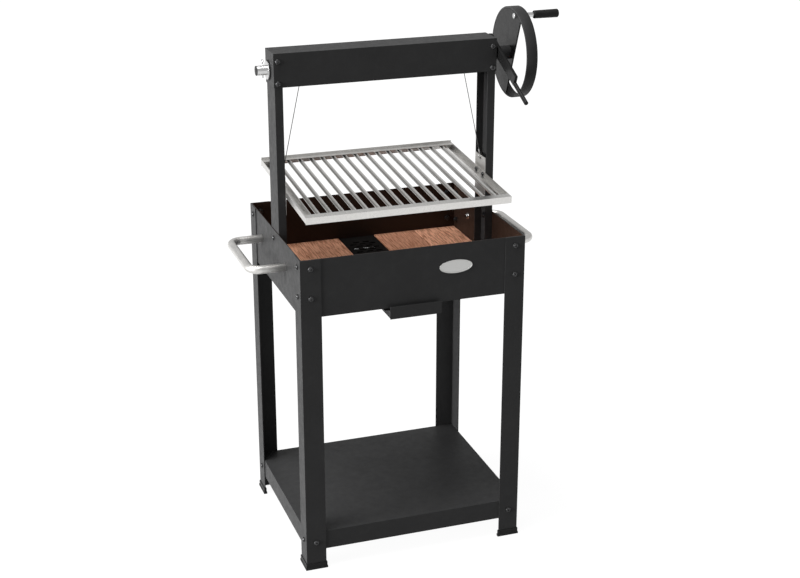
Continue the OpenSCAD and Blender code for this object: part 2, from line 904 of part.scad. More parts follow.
front_panel();
rear_panel();
left_panel();
right_panel();
firebox_floor();
left_bricks();
right_bricks();
ash_grate();
badge();
leg_front_left();
leg_front_right();
leg_rear_left();
leg_rear_right();
foot_front_left();
foot_front_right();
foot_rear_left();
foot_rear_right();
shelf();
left_upright();
right_upright();
top_beam();
left_bush();
right_bush();
left_runner();
right_runner();
ash_drawer();
left_handle();
right_handle();
handle_bolts();
panel_bolts();
shelf_bolts();
upright_bolts();
beam_bolts();
grate_frame();
grate_bars();
left_slider();
right_slider();
slider_screws();
left_rope_eye();
right_rope_eye();
left_rope();
right_rope();
winch_shaft();
shaft_plug();
left_rope_coil();
right_rope_coil();
shaft_washer();
split_pin();
wheel_hub();
wheel_plate();
wheel_rim();
crank_pin();
crank_grip();
brake_lever();
brake_pad();
lever_pivot();
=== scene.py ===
"""Finishes of a charcoal grill with a winch-lifted grate: coated sheet, stainless steel, fire clay and rope."""

import json
import math

import bmesh
import bpy
from mathutils import Matrix, Vector, noise


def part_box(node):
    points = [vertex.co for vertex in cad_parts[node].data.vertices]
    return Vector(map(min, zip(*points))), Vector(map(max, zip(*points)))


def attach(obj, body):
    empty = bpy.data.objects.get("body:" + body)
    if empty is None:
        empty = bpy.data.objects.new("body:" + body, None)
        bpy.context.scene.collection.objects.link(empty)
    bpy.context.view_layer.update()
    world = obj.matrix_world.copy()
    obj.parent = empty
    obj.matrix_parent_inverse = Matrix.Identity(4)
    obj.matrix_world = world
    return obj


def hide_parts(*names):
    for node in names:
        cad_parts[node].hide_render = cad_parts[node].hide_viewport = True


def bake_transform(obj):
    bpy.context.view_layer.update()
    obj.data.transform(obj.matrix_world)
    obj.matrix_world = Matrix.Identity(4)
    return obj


bl_info = {
    "name": "Winch Grill Finishes",
    "version": (1, 0, 0),
    "blender": (4, 5, 0),
    "location": "3D View > Sidebar > Grill",
    "description": "Gives the grill its softened edges, its finishes and its studio",
    "category": "Object",
}

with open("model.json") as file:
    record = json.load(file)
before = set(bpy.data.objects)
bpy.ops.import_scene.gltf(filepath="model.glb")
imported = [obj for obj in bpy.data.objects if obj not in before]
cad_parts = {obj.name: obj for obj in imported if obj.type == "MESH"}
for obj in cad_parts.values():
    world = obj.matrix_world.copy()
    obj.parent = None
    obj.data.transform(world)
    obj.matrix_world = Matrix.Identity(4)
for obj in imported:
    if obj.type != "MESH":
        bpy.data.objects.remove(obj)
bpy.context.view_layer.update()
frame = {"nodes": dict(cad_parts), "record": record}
NODES = frame["nodes"]
BODY_OF = {n: b for b, names in frame["record"]["behaviour"]["bodies"].items() for n in names}

# The camera and the lamps are placed from the middle of the firebox, on the ground
PANEL_LO, PANEL_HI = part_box("front_panel")
REAR_LO, REAR_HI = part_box("rear_panel")
MIDDLE = Vector(((PANEL_LO.x + PANEL_HI.x) / 2, (PANEL_LO.y + REAR_HI.y) / 2, 0.0))


# The grate slopes forward by this much
GRATE_TILT = math.radians(4.1)


# ---- Sizes and colours that a user may change ----


def colour(name, description, value):
    return bpy.props.FloatVectorProperty(
        name=name, description=description, default=value, size=3, subtype="COLOR", min=0.0, max=1.0
    )


def length(name, description, value):
    return bpy.props.FloatProperty(
        name=name, description=description, default=value, min=0.0, unit="LENGTH", subtype="DISTANCE"
    )


class GRILL_PG_coating(bpy.types.PropertyGroup):
    """Black coated sheet and the plastic and screws on it"""

    sheet_tone: colour("Sheet", "Colour of the powder coat", (0.036, 0.036, 0.0365))
    # The coat inside the firebox is tinted brown: painted bounce light from the fire bricks.
    painted_bounce_tone: colour("Painted bounce", "Colour of the coat inside the firebox", (0.030, 0.017, 0.012))
    soot_tone: colour("Soot", "Colour of the heated inside", (0.008, 0.007, 0.0065))
    plastic_tone: colour("Plastic", "Colour of the foot caps and grip", (0.014, 0.014, 0.014))
    screw_tone: colour("Screws", "Colour of the blackened screws", (0.035, 0.035, 0.036))
    sheet_edge: length("Sheet edge", "Radius of the edges of coated sheet", 0.0007)


class GRILL_PG_metal(bpy.types.PropertyGroup):
    """Bare metal"""

    steel_tone: colour("Stainless", "Colour of the brushed stainless steel", (0.70, 0.69, 0.67))
    bright_tone: colour("Bright steel", "Colour of turned and polished steel", (0.60, 0.60, 0.60))
    rope_tone: colour("Rope", "Colour of the galvanized rope", (0.20, 0.20, 0.20))
    badge_tone: colour("Badge", "Colour of the blank badge", (0.50, 0.50, 0.49))
    steel_edge: length("Steel edge", "Radius of the edges of stainless sheet", 0.0004)


class GRILL_PG_bricks(bpy.types.PropertyGroup):
    """Fire bricks"""

    clay_tone: colour("Clay", "Main colour of the bricks", (0.40, 0.165, 0.092))
    pale_tone: colour("Pale streaks", "Colour of the cut streaks", (0.86, 0.45, 0.285))
    brick_edge: length("Worn edge", "Radius of the bricks' worn edges", 0.0007)
    wander: length("Uneven face", "How far a brick's faces stray from flat", 0.0002)


class GRILL_PG_studio(bpy.types.PropertyGroup):
    """Floor, lamps and camera"""

    floor_tone: colour("Floor", "Colour of the floor and the wall", (0.92, 0.92, 0.92))
    lens: bpy.props.FloatProperty(
        name="Lens", description="Focal length of the camera", default=68.83, min=10.0, unit="CAMERA"
    )
    key_power: bpy.props.FloatProperty(
        name="Side lamp", description="Strength of the soft lamp on the left", default=4.7, min=0.0
    )
    top_power: bpy.props.FloatProperty(
        name="Top lamp", description="Strength of the soft lamp overhead", default=2.2, min=0.0
    )
    wall_power: bpy.props.FloatProperty(
        name="Walls", description="Brightness of the walls that metal mirrors", default=0.62, min=0.0
    )
    room_power: bpy.props.FloatProperty(
        name="Room", description="Strength of the even light all round", default=0.17, min=0.0
    )


# ---- Finishes ----


class Finish:
    """One node material: a Principled surface with patterns read from Object coordinates."""

    def __init__(self, name):
        self.material = bpy.data.materials.new(name)
        self.material.use_nodes = True
        self.tree = self.material.node_tree
        self.surface = self.tree.nodes["Principled BSDF"]
        self.place = self.tree.nodes.new("ShaderNodeTexCoord").outputs["Object"]

    def node(self, kind, **values):
        made = self.tree.nodes.new(kind)
        for key, value in values.items():
            setattr(made, key, value)
        return made

    def link(self, a, b):
        self.tree.links.new(a, b)

    def set(self, **values):
        for key, value in values.items():
            self.surface.inputs[key.replace("_", " ")].default_value = value

    def stretched(self, scale, source=None):
        """Coordinates multiplied along each axis, which draws a pattern out along the smallest."""
        made = self.node("ShaderNodeMapping")
        made.inputs["Scale"].default_value = scale
        self.link(source or self.place, made.inputs["Vector"])
        return made.outputs["Vector"]

    def noise(self, scale, detail=3.0, roughness=0.55, along=None, distortion=0.0):
        made = self.node("ShaderNodeTexNoise")
        made.inputs["Scale"].default_value = scale
        made.inputs["Detail"].default_value = detail
        made.inputs["Roughness"].default_value = roughness
        made.inputs["Distortion"].default_value = distortion
        self.link(along or self.place, made.inputs["Vector"])
        return made.outputs["Fac"]

    def cells(self, scale, along=None):
        made = self.node("ShaderNodeTexVoronoi")
        made.inputs["Scale"].default_value = scale
        self.link(along or self.place, made.inputs["Vector"])
        return made.outputs["Distance"]

    def remap(self, value, low, high, to_low=0.0, to_high=1.0):
        made = self.node("ShaderNodeMapRange")
        for key, number in (("From Min", low), ("From Max", high), ("To Min", to_low), ("To Max", to_high)):
            made.inputs[key].default_value = number
        self.link(value, made.inputs["Value"])
        return made.outputs["Result"]

    def inside(self, lo, hi, skin):
        """One where a point lies inside a box seen from above, clear of its skin, and zero elsewhere."""
        split = self.node("ShaderNodeSeparateXYZ")
        self.link(self.place, split.inputs["Vector"])
        both = None
        for axis in (0, 1):
            near = self.node("ShaderNodeMath", operation="COMPARE")
            self.link(split.outputs[axis], near.inputs[0])
            near.inputs[1].default_value = (lo[axis] + hi[axis]) / 2
            near.inputs[2].default_value = (hi[axis] - lo[axis]) / 2 - skin
            if both is None:
                both = near.outputs["Value"]
            else:
                joined = self.node("ShaderNodeMath", operation="MULTIPLY")
                self.link(both, joined.inputs[0])
                self.link(near.outputs["Value"], joined.inputs[1])
                both = joined.outputs["Value"]
        return both

    def sloped_height(self, slope):
        """Height above a plane through the middle of the floor that rises by the slope along Y."""
        made = self.node("ShaderNodeVectorMath", operation="DOT_PRODUCT")
        self.link(self.place, made.inputs[0])
        made.inputs[1].default_value = (0.0, -slope, 1.0)
        return made.outputs["Value"]

    def blend(self, factor, a, b, mode="MIX"):
        """Mixes two colours, each a tuple or a socket."""
        made = self.node("ShaderNodeMix", data_type="RGBA", blend_type=mode)
        self.link(factor, made.inputs[0])
        for index, value in ((6, a), (7, b)):
            if isinstance(value, bpy.types.NodeSocket):
                self.link(value, made.inputs[index])
            else:
                made.inputs[index].default_value = (*value, 1.0)
        return made.outputs[2]

    def colour(self, socket):
        self.link(socket, self.surface.inputs["Base Color"])

    def rough(self, value, low, high, to_low, to_high):
        self.link(self.remap(value, low, high, to_low, to_high), self.surface.inputs["Roughness"])

    def relief(self, *layers):
        """Stacks bumps; each layer is a height, its depth in metres and its strength."""
        below = None
        for height, depth, strength in layers:
            bump = self.node("ShaderNodeBump")
            bump.inputs["Distance"].default_value = depth
            bump.inputs["Strength"].default_value = strength
            self.link(height, bump.inputs["Height"])
            if below is not None:
                self.link(below, bump.inputs["Normal"])
            below = bump.outputs["Normal"]
        self.link(below, self.surface.inputs["Normal"])


def shade(tone, factor):
    return tuple(min(1.0, c * factor) for c in tone)


def powder_coat(name, tone, dust=0.2, base_rough=0.46, gloss=0.10, heated=None):
    """Satin black coat: fine orange peel, faint mottling, a thin veil of dust and a few rubs."""
    f = Finish(name)
    mottle = f.noise(9.0, 4.0)
    veil = f.remap(f.noise(38.0, 6.0, 0.65), 0.48, 0.82, 0.0, dust)
    specks = f.remap(f.noise(1500.0, 1.0), 0.70, 0.78, 0.0, 0.5)
    body = f.blend(f.remap(mottle, 0.3, 0.7), shade(tone, 0.93), shade(tone, 1.08))
    dust_and_painted_bounce = f.blend(veil, body, shade(tone, 1.9))
    # Painted bounce light: inside the firebox the coat is tinted brown as if lit by the bricks.
    if heated:
        dust_and_painted_bounce = f.blend(f.inside(PANEL_LO, REAR_HI, 0.001), dust_and_painted_bounce, heated)
    f.colour(f.blend(specks, dust_and_painted_bounce, shade(tone, 3.0)))
    f.rough(f.noise(60.0, 5.0, 0.6), 0.3, 0.7, base_rough - 0.05, base_rough + 0.10)
    peel = f.noise(620.0, 2.0)
    grain = f.noise(2400.0, 1.0)
    f.relief((peel, 0.00025, 0.22), (grain, 0.00008, 0.22))
    f.set(Specular_IOR_Level=gloss)
    return f.material


def sooty_coat(name, tone):
    """Sooty sheet: nearly black and dull, with a little pale ash on it."""
    f = Finish(name)
    patch = f.remap(f.noise(14.0, 6.0, 0.62, distortion=0.4), 0.40, 0.72)
    ash = f.remap(f.noise(260.0, 5.0, 0.7), 0.60, 0.82, 0.0, 0.30)
    body = f.blend(patch, shade(tone, 0.7), shade(tone, 1.5))
    f.colour(f.blend(ash, body, shade(tone, 4.0)))
    f.rough(patch, 0.0, 1.0, 0.62, 0.86)
    f.set(Specular_IOR_Level=0.06)
    f.relief((f.noise(300.0, 4.0), 0.0004, 0.3), (f.noise(1800.0, 2.0), 0.0001, 0.3))
    return f.material


def brushed_steel(name, tone, along="Y", base_rough=0.30, groove=None):
    """Stainless sheet with long grinding marks along one axis, light scratches and smears.

    A groove is given as its slope along Y and the heights of its floor and brim at Y = 0; painted shade darkens
    it towards its floor.
    """
    f = Finish(name)
    fine = {axis: 1.0 if axis == along else 60.0 for axis in "XYZ"}
    coarse = {axis: 1.0 if axis == along else 22.0 for axis in "XYZ"}
    marks = f.noise(26.0, 4.0, 0.7, f.stretched([fine[a] for a in "XYZ"]))
    bands = f.noise(9.0, 3.0, 0.6, f.stretched([coarse[a] for a in "XYZ"]))
    smear = f.remap(f.noise(24.0, 5.0, 0.6), 0.42, 0.72)
    streaked = f.blend(f.remap(marks, 0.3, 0.7), shade(tone, 0.80), shade(tone, 1.10))
    steel = f.blend(f.remap(bands, 0.35, 0.65, 0.0, 0.35), streaked, shade(tone, 0.72))
    if groove:
        # Painted shade: the groove darkens from its brim down to its floor.
        groove_painted_shade = f.remap(f.sloped_height(groove[0]), groove[1], groove[2], 0.88, 0.0)
        steel = f.blend(groove_painted_shade, steel, shade(tone, 0.16))
    f.colour(steel)
    rough = f.node("ShaderNodeMath", operation="ADD")
    f.link(f.remap(marks, 0.3, 0.7, base_rough - 0.06, base_rough + 0.08), rough.inputs[0])
    f.link(f.remap(smear, 0.0, 1.0, 0.0, 0.10), rough.inputs[1])
    f.link(rough.outputs["Value"], f.surface.inputs["Roughness"])
    f.relief((marks, 0.00006, 0.35), (bands, 0.0001, 0.12))
    f.set(Metallic=1.0)
    return f.material


def turned_steel(name, tone, base_rough=0.2):
    """Bright turned or plated steel with hair scratches and a little haze."""
    f = Finish(name)
    haze = f.noise(45.0, 5.0, 0.6)
    hair = f.noise(30.0, 3.0, 0.7, f.stretched((60.0, 4.0, 8.0)))
    f.colour(f.blend(f.remap(haze, 0.3, 0.75), shade(tone, 0.86), shade(tone, 1.08)))
    f.rough(haze, 0.3, 0.75, base_rough - 0.05, base_rough + 0.14)
    f.relief((hair, 0.00005, 0.25))
    f.set(Metallic=1.0)
    return f.material


def blackened(name, tone):
    """Black oxide on screws, rubbed brighter in places."""
    f = Finish(name)
    rub = f.remap(f.noise(420.0, 4.0, 0.6), 0.48, 0.74)
    f.colour(f.blend(rub, tone, shade(tone, 3.6)))
    f.rough(rub, 0.0, 1.0, 0.30, 0.46)
    f.relief((f.noise(1600.0, 2.0), 0.00008, 0.3))
    f.set(Metallic=0.75)
    return f.material


def moulded_plastic(name, tone):
    """Black moulded plastic with a spark-eroded grain and scuffs."""
    f = Finish(name)
    scuff = f.remap(f.noise(70.0, 6.0, 0.7), 0.50, 0.78, 0.0, 0.8)
    f.colour(f.blend(scuff, tone, shade(tone, 1.9)))
    f.rough(scuff, 0.0, 0.8, 0.44, 0.62)
    f.set(Specular_IOR_Level=0.12)
    f.relief((f.noise(1900.0, 3.0), 0.0001, 0.5))
    return f.material


def twisted_rope(name, tone):
    """Galvanized rope: strands lie slantwise round it, with painted shade between them."""
    f = Finish(name)
    unwrapped = f.node("ShaderNodeUVMap", uv_map="rope").outputs["UV"]
    split = f.node("ShaderNodeSeparateXYZ")
    f.link(unwrapped, split.inputs["Vector"])
    turned = f.node("ShaderNodeMath", operation="ADD")
    f.link(split.outputs["X"], turned.inputs[0])
    f.link(split.outputs["Y"], turned.inputs[1])
    wave = f.node("ShaderNodeMath", operation="SINE")
    angle = f.node("ShaderNodeMath", operation="MULTIPLY")
    f.link(turned.outputs["Value"], angle.inputs[0])
    angle.inputs[1].default_value = 2 * math.pi
    f.link(angle.outputs["Value"], wave.inputs[0])
    strand = f.remap(wave.outputs["Value"], -1.0, 0.6)
    dirt = f.noise(900.0, 3.0)
    # Painted shade in the grooves between the strands.
    body = f.blend(strand, shade(tone, 0.45), shade(tone, 1.1))
    f.colour(f.blend(f.remap(dirt, 0.4, 0.8, 0.0, 0.4), body, shade(tone, 0.5)))
    f.rough(dirt, 0.3, 0.7, 0.30, 0.48)
    f.relief((strand, 0.0003, 0.9))
    f.set(Metallic=0.7)
    return f.material


def fire_clay(name, clay, pale):
    """Wire-cut fire clay: streaks drawn along Y, sandy grain, small pores darkened with painted shade and a tone
    for each brick.
    """
    f = Finish(name)
    streak = f.noise(17.0, 3.0, 0.55, f.stretched((19.0, 1.1, 9.0)), 0.35)
    thread = f.noise(38.0, 4.0, 0.7, f.stretched((9.0, 0.9, 9.0)))
    cloud = f.noise(16.0, 4.0, 0.6)
    sand = f.noise(1300.0, 3.0, 0.7)
    pore = f.remap(f.cells(300.0), 0.05, 0.13, 1.0, 0.0)
    own = f.node("ShaderNodeAttribute", attribute_name="brick_tone").outputs["Fac"]
    base = f.blend(f.remap(streak, 0.43, 0.54), clay, pale)
    base = f.blend(f.remap(thread, 0.50, 0.72, 0.0, 0.65), base, shade(pale, 1.16))
    base = f.blend(f.remap(cloud, 0.35, 0.7, 0.0, 0.12), base, shade(clay, 0.70))
    base = f.blend(own, base, shade(clay, 0.78))
    base = f.blend(f.remap(sand, 0.60, 0.74, 0.0, 0.45), base, shade(clay, 0.48))
    # Painted shade in the pores.
    f.colour(f.blend(pore, base, shade(clay, 0.28)))
    f.rough(sand, 0.3, 0.7, 0.84, 0.97)
    f.relief((thread, 0.0009, 0.45), (sand, 0.0005, 0.5), (pore, 0.0008, -0.5))
    f.set(Specular_IOR_Level=0.25)
    return f.material


def satin_badge(name, tone):
    """Blank badge: satin aluminium with fine cross brushing."""
    f = Finish(name)
    marks = f.noise(60.0, 3.0, 0.6, f.stretched((1.0, 1.0, 55.0)))
    f.colour(f.blend(f.remap(marks, 0.3, 0.7), shade(tone, 0.9), shade(tone, 1.08)))
    f.rough(marks, 0.3, 0.7, 0.34, 0.46)
    f.relief((marks, 0.00005, 0.3))
    f.set(Metallic=0.85)
    return f.material


def brake_lining(name):
    """Woven friction lining with brass flecks."""
    f = Finish(name)
    fleck = f.remap(f.noise(900.0, 2.0), 0.62, 0.72)
    body = f.blend(f.noise(220.0, 4.0), (0.085, 0.060, 0.045), (0.16, 0.12, 0.085))
    f.colour(f.blend(fleck, body, (0.42, 0.30, 0.13)))
    f.rough(fleck, 0.0, 1.0, 0.88, 0.5)
    f.relief((f.noise(500.0, 4.0), 0.0004, 0.5))
    return f.material


# ---- Mesh helpers ----


def finished_piece(name, bm, body, material, node=None):
    """Makes a piece from a mesh in place, gives it its finish and its body, and hides the node it stands for."""
    mesh = bpy.data.meshes.new(name)
    bm.to_mesh(mesh)
    bm.free()
    mesh.materials.append(material)
    piece = bpy.data.objects.new(name, mesh)
    bpy.context.scene.collection.objects.link(piece)
    if body:
        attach(piece, body)
    if node:
        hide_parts(node)
    return piece


def bend_angle(edge):
    return edge.calc_face_angle(0.0) if len(edge.link_faces) == 2 else math.pi


def softened(node, edge, material, segments=2):
    """A copy of a node with its sharp edges rounded, as folded, cut or moulded edges are."""
    bm = bmesh.new()
    bm.from_mesh(NODES[node].data)
    for layer in list(bm.loops.layers.uv):
        bm.loops.layers.uv.remove(layer)
    bmesh.ops.remove_doubles(bm, verts=bm.verts, dist=1e-6)
    bmesh.ops.dissolve_limit(
        bm, angle_limit=math.radians(0.4), verts=bm.verts, edges=bm.edges, delimit={"NORMAL"}
    )
    for face in bm.faces:
        face.smooth = any(0.01 < bend_angle(e) < math.radians(25) for e in face.edges)
        face.material_index = 0
    sharp = [e for e in bm.edges if len(e.link_faces) == 2 and bend_angle(e) > math.radians(28)]
    made = bmesh.ops.bevel(
        bm, geom=sharp, offset=edge, offset_type="OFFSET", affect="EDGES", segments=segments,
        profile=0.5, material=-1, clamp_overlap=True, loop_slide=True,
    )
    for face in made["faces"]:
        face.smooth = True
    bmesh.ops.dissolve_degenerate(bm, dist=1e-7, edges=bm.edges)
    return finished_piece(node + "_finish", bm, BODY_OF[node], material, node)


# ---- Pieces ----


class GRILL_OT_coated_sheet(bpy.types.Operator):
    """Panels, legs, shelf, uprights, beam, drawer, wheel and lever in powder coat with softened edges"""

    bl_idname = "grill.coated_sheet"
    bl_label = "Coated Sheet"

    OUTSIDE = (
        "leg_front_left", "leg_front_right", "leg_rear_left", "leg_rear_right", "shelf", "left_runner",
        "right_runner", "ash_drawer", "left_upright", "right_upright", "top_beam", "wheel_hub",
        "wheel_rim",
    )
    PANELS = ("front_panel", "rear_panel", "left_panel", "right_panel")
    THICK = ("wheel_plate", "brake_lever")

    def execute(self, context):
        coating = context.scene.grill_coating
        coat = powder_coat("powder_coat", coating.sheet_tone)
        # The panels' coat carries the painted bounce light inside the firebox.
        heated = powder_coat("painted_bounce_coat", coating.sheet_tone, heated=coating.painted_bounce_tone)
        # The wheel plate and the brake lever get a darker, glossier coat: the gloss is their own, the darkening
        # is painted shade for the shadow the beam casts on them.
        wheel = powder_coat("wheel_coat_painted_shade", shade(coating.sheet_tone, 0.30), 0.1, 0.30, 0.12)
        for node in self.OUTSIDE:
            softened(node, coating.sheet_edge, coat)
        for node in self.PANELS:
            softened(node, coating.sheet_edge, heated)
        for node in self.THICK:
            softened(node, coating.sheet_edge * 1.8, wheel, 3)
        return {"FINISHED"}


class GRILL_OT_fire_floor(bpy.types.Operator):
    """Firebox floor and perforated ash plate, sooty and dusted with ash"""

    bl_idname = "grill.fire_floor"
    bl_label = "Fire Floor"

    def execute(self, context):
        coating = context.scene.grill_coating
        soot = sooty_coat("sooty_coat", coating.soot_tone)
        softened("firebox_floor", coating.sheet_edge, soot)
        softened("ash_grate", coating.sheet_edge, soot)
        return {"FINISHED"}


class GRILL_OT_bricks(bpy.types.Operator):
    """Loose fire bricks with worn edges and slightly uneven faces"""

    bl_idname = "grill.bricks"
    bl_label = "Fire Bricks"

    def brick(self, lo, hi, number, settings):
        bm = bmesh.new()
        size = hi - lo
        bmesh.ops.create_cube(bm, size=1.0)
        bmesh.ops.scale(bm, vec=size - Vector((0.0006,) * 3), verts=bm.verts)
        for axis in range(3):
            cuts = max(1, round(size[axis] / 0.012))
            along = [e for e in bm.edges if abs((e.verts[0].co - e.verts[1].co)[axis]) > size[axis] * 0.9]
            bmesh.ops.subdivide_edges(bm, edges=along, cuts=cuts, use_grid_fill=True)
        rim = [e for e in bm.edges if bend_angle(e) > 1.0]
        bmesh.ops.bevel(
            bm, geom=rim, offset=settings.brick_edge, offset_type="OFFSET", affect="EDGES", segments=3,
            profile=0.5, material=-1, clamp_overlap=True,
        )
        for v in bm.verts:
            at = v.co * 45.0 + Vector((number * 7.3, number * 3.1, 0.0))
            chip = max(0.0, noise.noise(v.co * 160.0 + Vector((number, 0.0, 5.0))) - 0.25)
            pull = settings.wander * (0.5 + 0.5 * noise.noise(at)) + settings.wander * 1.5 * chip
            v.co -= Vector((math.copysign(1, v.co.x), math.copysign(1, v.co.y), math.copysign(1, v.co.z))) * pull
        bmesh.ops.translate(bm, vec=(lo + hi) / 2, verts=bm.verts)
        return bm

    def execute(self, context):
        settings = context.scene.grill_bricks
        clay = fire_clay("fire_clay", settings.clay_tone, settings.pale_tone)
        number = 0
        for node in ("left_bricks", "right_bricks"):
            whole = bmesh.new()
            tone = whole.verts.layers.float.new("brick_tone")
            for lo, hi in solid_boxes(node):
                number += 1
                part = self.brick(lo, hi, number, settings)
                mesh = bpy.data.meshes.new("brick")
                part.to_mesh(mesh)
                part.free()
                before = len(whole.verts)
                whole.from_mesh(mesh)
                whole.verts.ensure_lookup_table()
                for v in whole.verts[before:]:
                    v[tone] = (0.0, 0.34, 0.12, 0.5, 0.22, 0.0, 0.42, 0.1)[number % 8]
                bpy.data.meshes.remove(mesh)
            for face in whole.faces:
                face.smooth = True
            finished_piece(node + "_finish", whole, BODY_OF[node], clay, node)
        return {"FINISHED"}


def solid_boxes(node):
    """Lowest and highest corner of each separate solid in a node, in a fixed order."""
    bm = bmesh.new()
    bm.from_mesh(NODES[node].data)
    bmesh.ops.remove_doubles(bm, verts=bm.verts, dist=1e-6)
    seen, boxes = set(), []
    for start in bm.verts:
        if start in seen:
            continue
        seen.add(start)
        group, todo = [], [start]
        while todo:
            v = todo.pop()
            group.append(v.co)
            for e in v.link_edges:
                other = e.other_vert(v)
                if other not in seen:
                    seen.add(other)
                    todo.append(other)
        lo = Vector([min(c[i] for c in group) for i in range(3)])
        hi = Vector([max(c[i] for c in group) for i in range(3)])
        boxes.append((lo, hi))
    bm.free()
    return sorted(boxes, key=lambda b: (round(b[0].x, 4), round(b[0].y, 4)))


class GRILL_OT_stainless(bpy.types.Operator):
    """Grate, sliders and handles in brushed stainless steel"""

    bl_idname = "grill.stainless"
    bl_label = "Stainless Pieces"

    def execute(self, context):
        metal = context.scene.grill_metal
        grate = brushed_steel("brushed_grate", metal.steel_tone, "Y", 0.30)
        slider = brushed_steel("brushed_slider", metal.steel_tone, "Z", 0.32)
        tube = brushed_steel("brushed_tube", shade(metal.steel_tone, 0.98), "Y", 0.38)
        softened("grate_frame", metal.steel_edge, grate)
        lo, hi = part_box("grate_bars")
        rise = math.tan(GRATE_TILT)
        mid_y, climb = (lo.y + hi.y) / 2, (hi.y - lo.y) / 2 * rise
        brim, keel = hi.z - climb - mid_y * rise, lo.z + climb - mid_y * rise
        # The bars' V grooves get painted shade, darkest at their floor.
        bars = brushed_steel("brushed_bars_painted_shade", metal.steel_tone, "Y", 0.30, (rise, keel, brim - 0.0012))
        softened("grate_bars", metal.steel_edge, bars)
        for node in ("left_slider", "right_slider"):
            softened(node, metal.steel_edge, slider)
        for node in ("left_handle", "right_handle"):
            softened(node, metal.steel_edge * 1.5, tube)
        return {"FINISHED"}


class GRILL_OT_hardware(bpy.types.Operator):
    """Screws, nuts, shaft, washer, pins and sleeves"""

    bl_idname = "grill.hardware"
    bl_label = "Hardware"

    def execute(self, context):
        black = blackened("black_oxide", context.scene.grill_coating.screw_tone)
        for node in ("panel_bolts", "shelf_bolts", "upright_bolts", "beam_bolts", "slider_screws"):
            softened(node, 0.0004, black)
        bright = turned_steel("turned_steel", context.scene.grill_metal.bright_tone)
        for node in ("winch_shaft", "shaft_washer", "split_pin", "crank_pin", "lever_pivot", "handle_bolts"):
            softened(node, 0.0004, bright)
        pressed = turned_steel("pressed_sleeve", shade(context.scene.grill_metal.bright_tone, 0.85), 0.3)
        for node in ("left_rope_eye", "right_rope_eye"):
            softened(node, 0.0003, pressed)
        return {"FINISHED"}


class GRILL_OT_plastic(bpy.types.Operator):
    """Foot caps, shaft bushes and the crank grip in moulded plastic"""

    bl_idname = "grill.plastic"
    bl_label = "Plastic Pieces"

    def execute(self, context):
        plastic = moulded_plastic("moulded_plastic", context.scene.grill_coating.plastic_tone)
        for node in ("foot_front_left", "foot_front_right", "foot_rear_left", "foot_rear_right"):
            softened(node, 0.0008, plastic, 3)
        for node in ("left_bush", "right_bush", "shaft_plug", "crank_grip"):
            softened(node, 0.0006, plastic, 3)
        return {"FINISHED"}


class GRILL_OT_brake_lining(bpy.types.Operator):
    """Friction block under the brake lever"""

    bl_idname = "grill.brake_lining"
    bl_label = "Brake Lining"

    def execute(self, context):
        softened("brake_pad", 0.0004, brake_lining("woven_lining"))
        return {"FINISHED"}


class GRILL_OT_badge(bpy.types.Operator):
    """Blank oval badge"""

    bl_idname = "grill.badge"
    bl_label = "Badge"

    def execute(self, context):
        softened("badge", 0.0005, satin_badge("satin_badge", context.scene.grill_metal.badge_tone), 3)
        return {"FINISHED"}


